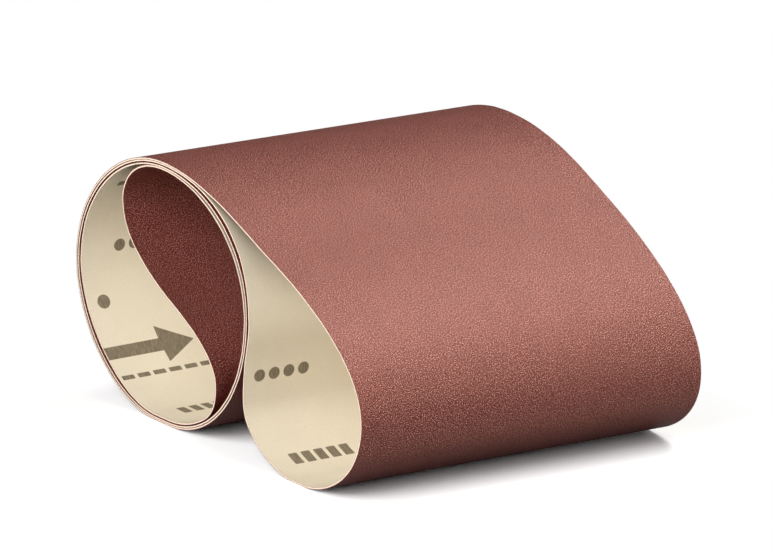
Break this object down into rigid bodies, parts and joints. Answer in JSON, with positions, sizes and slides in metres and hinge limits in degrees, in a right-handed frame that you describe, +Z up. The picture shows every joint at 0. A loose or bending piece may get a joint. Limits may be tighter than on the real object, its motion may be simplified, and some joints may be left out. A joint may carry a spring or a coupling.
{
  "type": "sanding belt",
  "caption": "Wide endless abrasive belt, flattened and rolled up into a coil with a bulb at each end, red-brown grain outside and bare paper backing inside.",
  "frame": {"origin": "on the floor under the middle of the rolled belt's bounding box", "axes": "+X across the roll from the coil to the outer bulb, +Y along the belt's width, +Z up"},
  "size_m": [0.135, 0.1, 0.0687],
  "materials": {
    "belt": "matte abrasive grain outside, bare cream paper inside"
  },
  "bodies": {
    "root": {"belt": "belt"}
  },
  "joints": []
}
